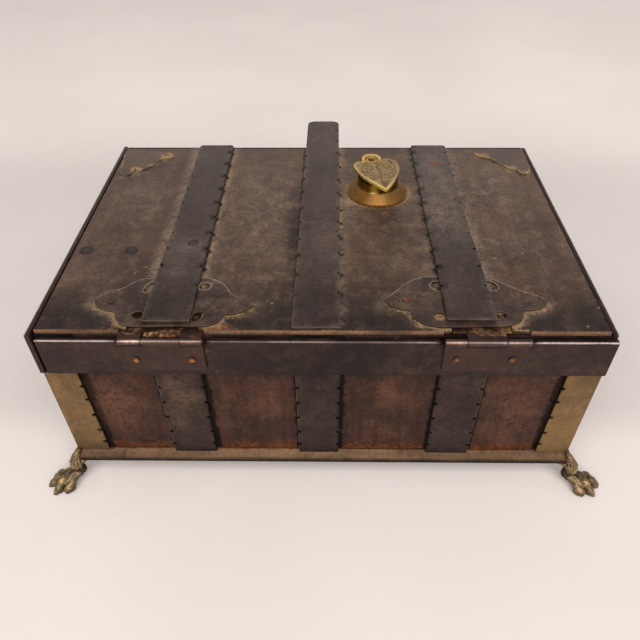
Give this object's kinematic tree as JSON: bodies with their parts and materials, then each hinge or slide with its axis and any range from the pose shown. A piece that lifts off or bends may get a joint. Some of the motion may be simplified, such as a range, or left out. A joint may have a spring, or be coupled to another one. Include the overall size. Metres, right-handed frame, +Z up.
{
  "type": "strongbox",
  "caption": "Small iron strongbox on cast paw feet, bound with riveted straps, brass corners and butt hinges; a heart-shaped cover swings off the key barrel on its hinged lid.",
  "frame": {"origin": "middle of the bounding box, at the soles of the paws", "axes": "+X along the hinge line, +Y from the hinges towards the lock side, +Z up"},
  "size_m": [0.2732, 0.2075, 0.1129],
  "materials": {
    "lid_iron": "mottled brown patina with beige haze",
    "strap_iron": "slate brown patina",
    "band_iron": "near-black oiled patina",
    "wall_iron": "dark red-brown rust patina",
    "hinge_iron": "rubbed coppery brown",
    "rusty_iron": "orange rust",
    "base_brass": "dull tan brass",
    "plate_brass": "khaki aged brass, greener at the foot",
    "cast_brass": "antique brass with rubbed highlights",
    "bright_brass": "deep gold, turned",
    "dull_brass": "grey brass with scroll engraving, bright edge",
    "spring_steel": "plain steel"
  },
  "bodies": {
    "box": {"back_strap_left": "strap_iron", "back_strap_middle": "strap_iron", "back_strap_right": "strap_iron", "band_back": "band_iron", "band_front": "band_iron", "band_left": "band_iron", "band_right": "band_iron", "base_plate": "base_brass", "bolt_keeper": "wall_iron", "corner_plate_back_left": "plate_brass", "corner_plate_back_right": "plate_brass", "corner_plate_front_left": "plate_brass", "corner_plate_front_right": "plate_brass", "front_strap_left": "strap_iron", "front_strap_middle": "strap_iron", "front_strap_right": "strap_iron", "hinge_body_leaf_left": "hinge_iron", "hinge_body_leaf_right": "hinge_iron", "hinge_pin_left": "spring_steel", "hinge_pin_right": "spring_steel", "hinge_rivet_left_1": "rusty_iron", "hinge_rivet_left_2": "rusty_iron", "hinge_rivet_right_1": "rusty_iron", "hinge_rivet_right_2": "rusty_iron", "paw_foot_back_left": "cast_brass", "paw_foot_back_right": "cast_brass", "paw_foot_front_left": "cast_brass", "paw_foot_front_right": "cast_brass", "wall_back": "wall_iron", "wall_front": "wall_iron", "wall_left": "wall_iron", "wall_right": "wall_iron"},
    "lid": {"bolt_spring": "spring_steel", "bolt_staple": "wall_iron", "case_rivet_left": "band_iron", "case_rivet_right": "band_iron", "cover_pivot": "bright_brass", "hinge_lid_leaf_left": "hinge_iron", "hinge_lid_leaf_right": "hinge_iron", "key_barrel": "bright_brass", "key_post": "spring_steel", "lid_ornament_left": "strap_iron", "lid_ornament_right": "strap_iron", "lid_plate": "lid_iron", "lid_strap_left": "strap_iron", "lid_strap_middle": "strap_iron", "lid_strap_right": "strap_iron", "lock_case": "wall_iron", "palmette_left": "strap_iron", "palmette_right": "strap_iron", "palmette_rivet_left_1": "rusty_iron", "palmette_rivet_left_2": "rusty_iron", "palmette_rivet_right_1": "rusty_iron", "palmette_rivet_right_2": "rusty_iron", "plug_rivet_edge": "band_iron", "plug_rivet_field": "band_iron", "plug_rivet_strap": "band_iron"},
    "cover": {"heart_cover": "dull_brass"},
    "bolt": {"lock_bolt": "spring_steel"}
  },
  "joints": [
    {"name": "lid_hinge", "type": "hinge", "parent": "box", "child": "lid", "pos_m": [0, -0.09105, 0.0954], "axis": [1, 0, 0], "range_deg": [0, 105]},
    {"name": "cover_swing", "type": "hinge", "parent": "lid", "child": "cover", "pos_m": [0.02535, 0.029, 0.111], "axis": [0, 0, 1], "range_deg": [-150, 150]},
    {"name": "bolt_slide", "type": "slide", "parent": "lid", "child": "bolt", "axis": [0, 1, 0], "range_m": [0, 0.005]}
  ]
}
